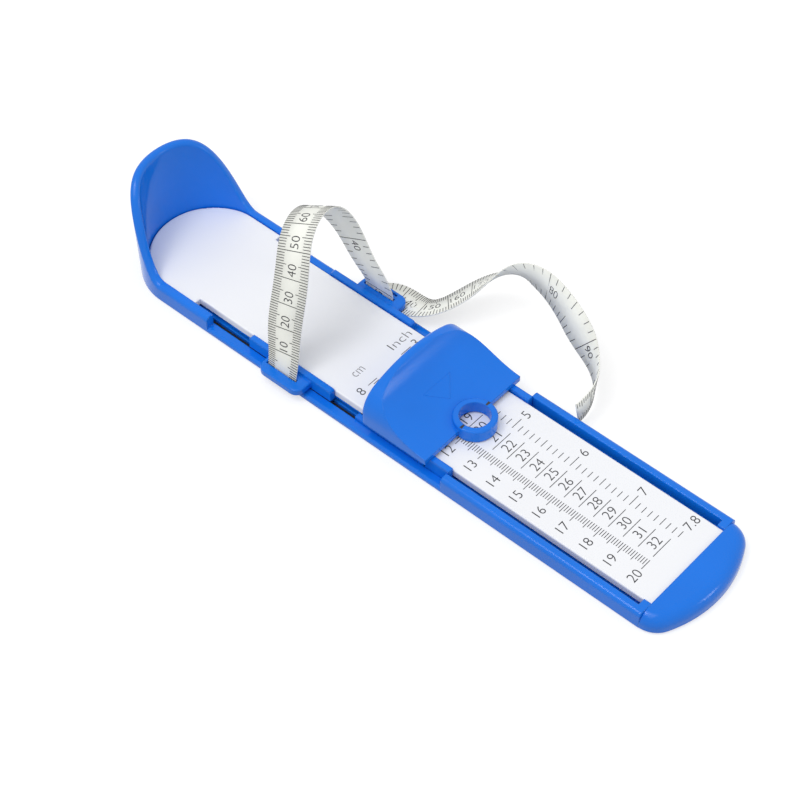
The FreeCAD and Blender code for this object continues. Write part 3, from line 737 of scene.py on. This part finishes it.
def tape_strip(line, width, thickness):
    """Closed strip with a UV map in millimetres, across and along."""
    runs = np.linspace(0.0, line.length, TAPE_STATIONS)
    middle = line.at(runs, line.middle)
    across = line.at(runs, line.across) * width / 2
    out = line.at(runs, line.out) * thickness / 2
    corners = [
        middle - across - out,
        middle + across - out,
        middle + across + out,
        middle - across + out,
    ]
    sides = np.cumsum([0.0, width, thickness, width, thickness]) / MM
    bm = bmesh.new()
    rings = [[bm.verts.new(corner[i]) for corner in corners] for i in range(len(runs))]
    uv = bm.loops.layers.uv.new("tape")
    for i in range(len(runs) - 1):
        for k in range(4):
            m = (k + 1) % 4
            face = bm.faces.new((rings[i][k], rings[i][m], rings[i + 1][m], rings[i + 1][k]))
            face.smooth = True
            places = (
                (sides[k], runs[i]), (sides[k + 1], runs[i]),
                (sides[k + 1], runs[i + 1]), (sides[k], runs[i + 1]),
            )
            for loop, (u, v) in zip(face.loops, places):
                loop[uv].uv = (u, v / MM)
    for end, ring in ((0, rings[0]), (-1, rings[-1])):
        face = bm.faces.new(ring)
        for loop in face.loops:
            loop[uv].uv = (sides[ring.index(loop.vert)], runs[end] / MM)
    for edge in bm.edges:
        if len(edge.link_faces) == 2 and edge.calc_face_angle() > TAPE_SHARP:
            edge.smooth = False
    bmesh.ops.recalc_face_normals(bm, faces=bm.faces)
    mesh = bpy.data.meshes.new("girth_tape_strip")
    bm.to_mesh(mesh)
    bm.free()
    return mesh


def tape_points(name, line, runs, level):
    """Points of the tape's marks with their directions, this far out of its middle surface."""
    mesh = bpy.data.meshes.new(name + "_points")
    places = line.at(runs, line.middle) + line.at(runs, line.out) * level
    mesh.from_pydata([tuple(place) for place in places], [], [])
    for label, values in (("along", line.along), ("across", line.across)):
        attribute = mesh.attributes.new(label, "FLOAT_VECTOR", "POINT")
        attribute.data.foreach_set("vector", line.at(runs, values).astype(np.float32).ravel())
    return mesh


def tape_row(name, tree, line, pitch, side, lengths, every, face, settings):
    """Marks along one edge of one face of the tape."""
    last = int((line.length - TAPE_PRINT_ZERO - settings.line_width) / pitch)
    runs = TAPE_PRINT_ZERO + pitch * np.arange(last + 1)
    level = face * settings.thickness / 2
    values = {
        "Short": lengths[0],
        "Middle": lengths[1],
        "Long": lengths[2],
        "Middle every": every[0],
        "Long every": every[1],
        "Side": side,
        "Edge": settings.width / 2,
        "Line width": settings.line_width,
        "Thickness": 2 * TAPE_INK,
        "Ink": finish_named("tape_ink"),
    }
    points = tape_points(name, line, runs, level)
    return marks(name, tree, points, values, "carriage")


def tape_word(bm, line, text, start, height, face, settings):
    """Adds a number that reads along the tape, bent with it."""
    word = flat_word(text, height)
    length = max(vertex.co.x for vertex in word.vertices) * 2
    flat = bmesh.new()
    flat.from_mesh(word)
    bpy.data.meshes.remove(word)
    for cut in np.arange(-length / 2 + BEND_STEP, length / 2, BEND_STEP):
        everything = flat.verts[:] + flat.edges[:] + flat.faces[:]
        bmesh.ops.bisect_plane(
            flat, geom=everything, dist=1e-9, plane_co=(cut, 0, 0), plane_no=(1, 0, 0)
        )
    points = np.array([vertex.co for vertex in flat.verts])
    runs = start + length / 2 + points[:, 0]
    level = settings.thickness / 2 + points[:, 2] * 2 * TAPE_INK
    bent = line.at(runs, line.middle)
    bent += line.at(runs, line.across) * (face * points[:, 1])[:, None]
    bent += line.at(runs, line.out) * (face * level)[:, None]
    for vertex, place in zip(flat.verts, bent):
        vertex.co = place
    curved = bpy.data.meshes.new("word")
    flat.to_mesh(curved)
    flat.free()
    bm.from_mesh(curved)
    bpy.data.meshes.remove(curved)


# --------------------------------------------------------------------------------------- operators
class FOOTGAUGE_OT_stage(bpy.types.Operator):
    """Lay the floor and light it softly"""

    bl_idname = "footgauge.stage"
    bl_label = "Stage"

    def execute(self, context):
        settings = context.scene.foot_gauge.stage
        context.scene.view_settings.view_transform = "Standard"
        self.sky(context.scene, settings)
        self.floor(settings)
        self.lamp("soft_lamp", SOFT_LAMP_PLACE, settings.lamp, settings.lamp_size)
        self.lamp("glint_lamp", GLINT_LAMP_PLACE, settings.glint_lamp, GLINT_LAMP_SIZE)
        self.lamp("edge_lamp", EDGE_LAMP_PLACE, settings.edge_lamp, EDGE_LAMP_SIZE)
        return {"FINISHED"}

    def sky(self, scene, settings):
        """Even light, and white where the camera or a glossy surface looks past the floor."""
        world = bpy.data.worlds.new("studio")
        world.use_nodes = True
        nodes, links = world.node_tree.nodes, world.node_tree.links
        light = nodes["Background"]
        light.inputs["Color"].default_value = WHITE
        light.inputs["Strength"].default_value = settings.sky
        white = nodes.new("ShaderNodeBackground")
        white.inputs["Color"].default_value = WHITE
        white.inputs["Strength"].default_value = 1.0
        mix = nodes.new("ShaderNodeMixShader")
        links.new(seen_directly(world.node_tree), mix.inputs["Fac"])
        links.new(light.outputs[0], mix.inputs[1])
        links.new(white.outputs[0], mix.inputs[2])
        links.new(mix.outputs[0], nodes["World Output"].inputs["Surface"])
        scene.world = world

    def floor(self, settings):
        """Pale floor that takes the shadow and is white to the camera where none falls, with
        painted shade under the tray.
        """
        finish = Finish("stage_floor").colour(settings.floor, spread=0.004, scale=3.0)
        finish.roughness(low=0.85, high=0.95, scale=20.0)
        # Painted shade: the floor's colour and its white lift are scaled down under the tray.
        open_air = self.open_air(finish)
        colour = finish.shader.inputs["Base Color"].links[0].from_socket
        shaded_colour = finish.add("ShaderNodeVectorMath", operation="SCALE")
        finish.tree.links.new(colour, shaded_colour.inputs[0])
        finish.tree.links.new(open_air, shaded_colour.inputs["Scale"])
        finish.join(shaded_colour, "Vector", finish.shader, "Base Color")
        lift = finish.add("ShaderNodeMath", operation="MULTIPLY")
        finish.tree.links.new(seen_directly(finish.tree), lift.inputs[0])
        finish.tree.links.new(open_air, lift.inputs[1])
        finish.shader.inputs["Emission Color"].default_value = FLOOR_LIFT
        finish.join(lift, "Value", finish.shader, "Emission Strength")
        bm = bmesh.new()
        bmesh.ops.create_grid(bm, x_segments=4, y_segments=4, size=FLOOR_HALF)
        mesh = bpy.data.meshes.new("stage_floor")
        bm.to_mesh(mesh)
        bm.free()
        mesh.transform(Matrix.Translation((0.0, 0.0, -FLOOR_DROP)))
        mesh.materials.append(finish.material)
        floor = bpy.data.objects.new("stage_floor", mesh)
        bpy.context.scene.collection.objects.link(floor)

    def open_air(self, finish):
        """Painted shade: nearly 0 on the floor under the tray, which only its slots show, and 1
        around it.
        """
        place = finish.add("ShaderNodeSeparateXYZ")
        finish.join(finish.coordinates, "Object", place, "Vector")
        low, high, half = UNDER_TRAY
        spans = (("X", (low + high) / 2, (high - low) / 2), ("Y", 0.0, half))
        covered = finish.add("ShaderNodeMath", operation="MULTIPLY")
        for factor, (axis, middle, reach) in zip(covered.inputs, spans):
            near = finish.add("ShaderNodeMath", operation="COMPARE")
            near.inputs[1].default_value = middle
            near.inputs[2].default_value = reach
            finish.tree.links.new(place.outputs[axis], near.inputs[0])
            finish.tree.links.new(near.outputs[0], factor)
        shade = finish.add("ShaderNodeMapRange")
        shade.inputs["To Min"].default_value = 1.0
        shade.inputs["To Max"].default_value = PAINTED_SHADE_SHARE
        finish.join(covered, "Value", shade, "Value")
        return shade.outputs["Result"]

    def lamp(self, name, place, power, size):
        """Square soft lamp that looks at the middle of the tray."""
        light = bpy.data.lights.new(name, "AREA")
        light.energy = power
        light.size = size
        lamp = bpy.data.objects.new(name, light)
        lamp.location = place
        aim = Vector(LAMP_AIM) - lamp.location
        lamp.rotation_euler = aim.to_track_quat("-Z", "Y").to_euler()
        bpy.context.scene.collection.objects.link(lamp)


class FOOTGAUGE_OT_camera(bpy.types.Operator):
    """Set the camera over the toe end, looking back at the heel"""

    bl_idname = "footgauge.camera"
    bl_label = "Camera"

    def execute(self, context):
        lens = bpy.data.cameras.new("camera")
        lens.lens = CAMERA_LENS
        lens.sensor_width = SENSOR
        lens.clip_start = 0.01
        lens.clip_end = 50.0
        turn, rise = CAMERA_TURN, CAMERA_ELEVATION
        right = Vector((math.cos(turn), math.sin(turn), 0.0))
        back = Vector(
            (math.sin(turn) * math.cos(rise), -math.cos(turn) * math.cos(rise), math.sin(rise))
        )
        up = back.cross(right)
        place = Matrix((right, up, back)).transposed().to_4x4()
        place.translation = CAMERA_PLACE
        camera = bpy.data.objects.new("camera", lens)
        camera.matrix_world = place
        context.scene.collection.objects.link(camera)
        context.scene.camera = camera
        return {"FINISHED"}


class FOOTGAUGE_OT_finishes(bpy.types.Operator):
    """Give every moulded and turned part its finish"""

    bl_idname = "footgauge.finishes"
    bl_label = "Finishes"

    def execute(self, context):
        colours = context.scene.foot_gauge.finishes
        made = {
            "blue_plastic": blue_plastic(colours.blue),
            "white_plastic": plate_plastic(colours.plate),
            "tape_cloth": tape_cloth(colours.tape),
            "screw_steel": screw_steel(colours.steel),
        }
        print_ink("plate_ink", colours.ink)
        print_ink("tape_ink", colours.ink)
        for part in frame["record"]["subparts"]:
            mesh = NODES[part["node"]].data
            mesh.materials.clear()
            mesh.materials.append(made[part["material_slot"]])
        return {"FINISHED"}


class FOOTGAUGE_OT_plate_ticks(bpy.types.Operator):
    """Print the centimetre and inch marks and the lines between shoe sizes"""

    bl_idname = "footgauge.plate_ticks"
    bl_label = "Plate Marks"

    def execute(self, context):
        settings = context.scene.foot_gauge.printing
        tree = TickTree("Plate marks", True).tree
        millimetres = (CM_LAST - CM_FIRST) * 10 + 1
        plate_row(
            "plate_cm_marks", tree, PRINT_ZERO + CM_FIRST * 10 * MM, MM, millimetres,
            CM_BASE, -1.0, CM_TICKS, (5, 10), settings,
        )
        tenths = round((INCH_LAST - INCH_FIRST) * 10) + 1
        plate_row(
            "plate_inch_marks", tree, PRINT_ZERO + INCH_SHIFT + INCH_FIRST * INCH, INCH / 10,
            tenths, INCH_BASE, 1.0, INCH_TICKS, (5, 10), settings,
        )
        first = PRINT_ZERO + SIZE_SHIFT + (SIZE_FIRST - 1) * SIZE_PITCH
        plate_row(
            "plate_size_lines", tree, first, SIZE_PITCH, SIZE_LAST - SIZE_FIRST + 2,
            SIZE_BASE, 1.0, (SIZE_LINE,) * 3, (1, 1), settings,
        )
        return {"FINISHED"}


class FOOTGAUGE_OT_plate_numbers(bpy.types.Operator):
    """Print the numbers and unit words of the plate's scales"""

    bl_idname = "footgauge.plate_numbers"
    bl_label = "Plate Numbers"

    def execute(self, context):
        settings = context.scene.foot_gauge.printing
        high = settings.number_height
        rows = {
            "plate_cm_numbers": [
                (str(n), PRINT_ZERO + n * 10 * MM, CM_NUMBER_Y)
                for n in range(CM_FIRST, CM_LAST + 1)
            ],
            "plate_size_numbers": [
                (str(n), PRINT_ZERO + SIZE_SHIFT + (n - 0.5) * SIZE_PITCH, SIZE_NUMBER_Y)
                for n in range(SIZE_FIRST, SIZE_LAST + 1)
            ],
            "plate_inch_numbers": [
                ("%g" % n, PRINT_ZERO + INCH_SHIFT + n * INCH, INCH_NUMBER_Y)
                for n in (3, 4, 5, 6, 7, INCH_LAST)
            ],
        }
        for name, numbers in rows.items():
            bm = bmesh.new()
            for text, x, y in numbers:
                plate_word(bm, text, x, y, high, settings.ink_height)
            self.keep(bm, name)
        bm = bmesh.new()
        for text, x, y, height, length in UNIT_WORDS:
            plate_word(bm, text, PRINT_ZERO + x, y, height, settings.ink_height, length)
        self.keep(bm, "plate_unit_words")
        return {"FINISHED"}

    def keep(self, bm, name):
        piece(name, mesh_from(bm, name), finish_named("plate_ink"), "base")


class FOOTGAUGE_OT_slider_marks(bpy.types.Operator):
    """Print the ring's two index wedges and raise the arrow on the ramp"""

    bl_idname = "footgauge.slider_marks"
    bl_label = "Slider Marks"

    def execute(self, context):
        ink_height = context.scene.foot_gauge.printing.ink_height
        bm = bmesh.new()
        (near, thin), (far, thick) = WEDGE
        for side in (-1.0, 1.0):
            outline = [
                (RING_X - thin, side * near), (RING_X + thin, side * near),
                (RING_X + thick, side * far), (RING_X - thick, side * far),
            ]
            prism(bm, outline, RING_TOP - INK_SUNK, RING_TOP + ink_height)
        name = "ring_index_wedges"
        piece(name, mesh_from(bm, name), finish_named("plate_ink"), "toe_slider")
        self.arrow()
        return {"FINISHED"}

    def arrow(self):
        """Flat triangle that points at the ring, following the ramp."""
        hood = NODES["toe_hood"].data
        ramp = BVHTree.FromPolygons(
            [vertex.co.copy() for vertex in hood.vertices],
            [tuple(face.vertices) for face in hood.polygons],
        )
        bm = bmesh.new()
        rings = []
        for step in range(ARROW_STEPS + 1):
            share = step / ARROW_STEPS
            x = ARROW_BASE_X + (ARROW_TIP_X - ARROW_BASE_X) * share
            half = max(ARROW_HALF * (1.0 - share), ARROW_TIP_HALF)
            hit = ramp.ray_cast(Vector((x, 0.0, OVER_HOOD)), Vector((0.0, 0.0, -1.0)))[0]
            if hit is None:
                raise RuntimeError("the arrow misses the ramp")
            top, under = hit.z + ARROW_PROUD, hit.z - ARROW_SUNK
            foot = half + ARROW_SLOPE
            back = ARROW_SLOPE if step == 0 else 0.0
            rings.append([
                bm.verts.new((x - back, -foot, under)), bm.verts.new((x - back, foot, under)),
                bm.verts.new((x, half, top)), bm.verts.new((x, -half, top)),
            ])
        for here, ahead in zip(rings, rings[1:]):
            for k in range(4):
                m = (k + 1) % 4
                bm.faces.new((here[k], here[m], ahead[m], ahead[k]))
        bm.faces.new(rings[0])
        bm.faces.new(rings[-1])
        name = "ramp_arrow"
        piece(name, mesh_from(bm, name), finish_named("glossy_blue"), "toe_slider")


class FOOTGAUGE_OT_girth_tape(bpy.types.Operator):
    """Lay the girth tape and print both of its faces"""

    bl_idname = "footgauge.girth_tape"
    bl_label = "Girth Tape"

    def execute(self, context):
        settings = context.scene.foot_gauge.tape
        line = TapeLine()
        strip = tape_strip(line, settings.width, settings.thickness)
        tape = piece("tape_strip", strip, finish_named("coated_weave"), "carriage")
        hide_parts("girth_tape")
        printed = self.ticks(line, settings) + self.numbers(line, settings)
        return {"FINISHED"}

    def ticks(self, line, settings):
        """Millimetres on the outer face, eighths of an inch on the other, along both edges."""
        tree = TickTree("Tape marks", False).tree
        made = []
        for edge, side in (("left", -1.0), ("right", 1.0)):
            made.append(tape_row(
                "tape_mm_marks_" + edge, tree, line, MM, side, TAPE_TICKS, (5, 10), -1.0, settings,
            ))
            made.append(tape_row(
                "tape_inch_marks_" + edge, tree, line, INCH / 8, side, TAPE_INCH_TICKS, (4, 8),
                1.0, settings,
            ))
        return made

    def numbers(self, line, settings):
        """Numbers just past the full lines: millimetres, and tenths of an inch."""
        made = []
        for name, pitch, face in (("mm", 10 * MM, -1.0), ("inch", INCH, 1.0)):
            bm = bmesh.new()
            number = 1
            room = line.length - TAPE_PRINT_ZERO - TAPE_LAST_ROOM
            while number * pitch < room:
                start = TAPE_PRINT_ZERO + number * pitch + TAPE_DIGIT_GAP
                tape_word(bm, line, str(number * 10), start, TAPE_DIGIT, face, settings)
                number += 1
            title = "tape_%s_numbers" % name
            made.append(piece(
                title, mesh_from(bm, title), finish_named("tape_ink"), "carriage",
            ))
        return made


# ------------------------------------------------------------------------------------------- panel
OPERATORS = (
    FOOTGAUGE_OT_camera,
    FOOTGAUGE_OT_stage,
    FOOTGAUGE_OT_finishes,
    FOOTGAUGE_OT_plate_ticks,
    FOOTGAUGE_OT_plate_numbers,
    FOOTGAUGE_OT_slider_marks,
    FOOTGAUGE_OT_girth_tape,
)


class FOOTGAUGE_PT_panel(bpy.types.Panel):
    """Settings and steps of the foot gauge"""

    bl_idname = "FOOTGAUGE_PT_panel"
    bl_label = "Foot Gauge"
    bl_space_type = "VIEW_3D"
    bl_region_type = "UI"
    bl_category = "Foot Gauge"

    def draw(self, context):
        settings = context.scene.foot_gauge
        for group in (settings.finishes, settings.printing, settings.tape, settings.stage):
            box = self.layout.box()
            for name in group.__annotations__:
                box.prop(group, name)
        for operator in OPERATORS:
            self.layout.operator(operator.bl_idname)


GROUPS = (
    FootGaugeFinishes,
    FootGaugePrint,
    FootGaugeTape,
    FootGaugeStage,
    FootGaugeSettings,
)


def register():
    for kind in GROUPS + OPERATORS + (FOOTGAUGE_PT_panel,):
        bpy.utils.register_class(kind)
    bpy.types.Scene.foot_gauge = PointerProperty(
        name="Foot gauge", description="Settings of the foot gauge", type=FootGaugeSettings
    )


def unregister():
    del bpy.types.Scene.foot_gauge
    for kind in reversed(GROUPS + OPERATORS + (FOOTGAUGE_PT_panel,)):
        bpy.utils.unregister_class(kind)


def main():
    register()
    for operator in OPERATORS:
        group, name = operator.bl_idname.split(".")
        getattr(getattr(bpy.ops, group), name)()


if __name__ == "__main__":
    main()
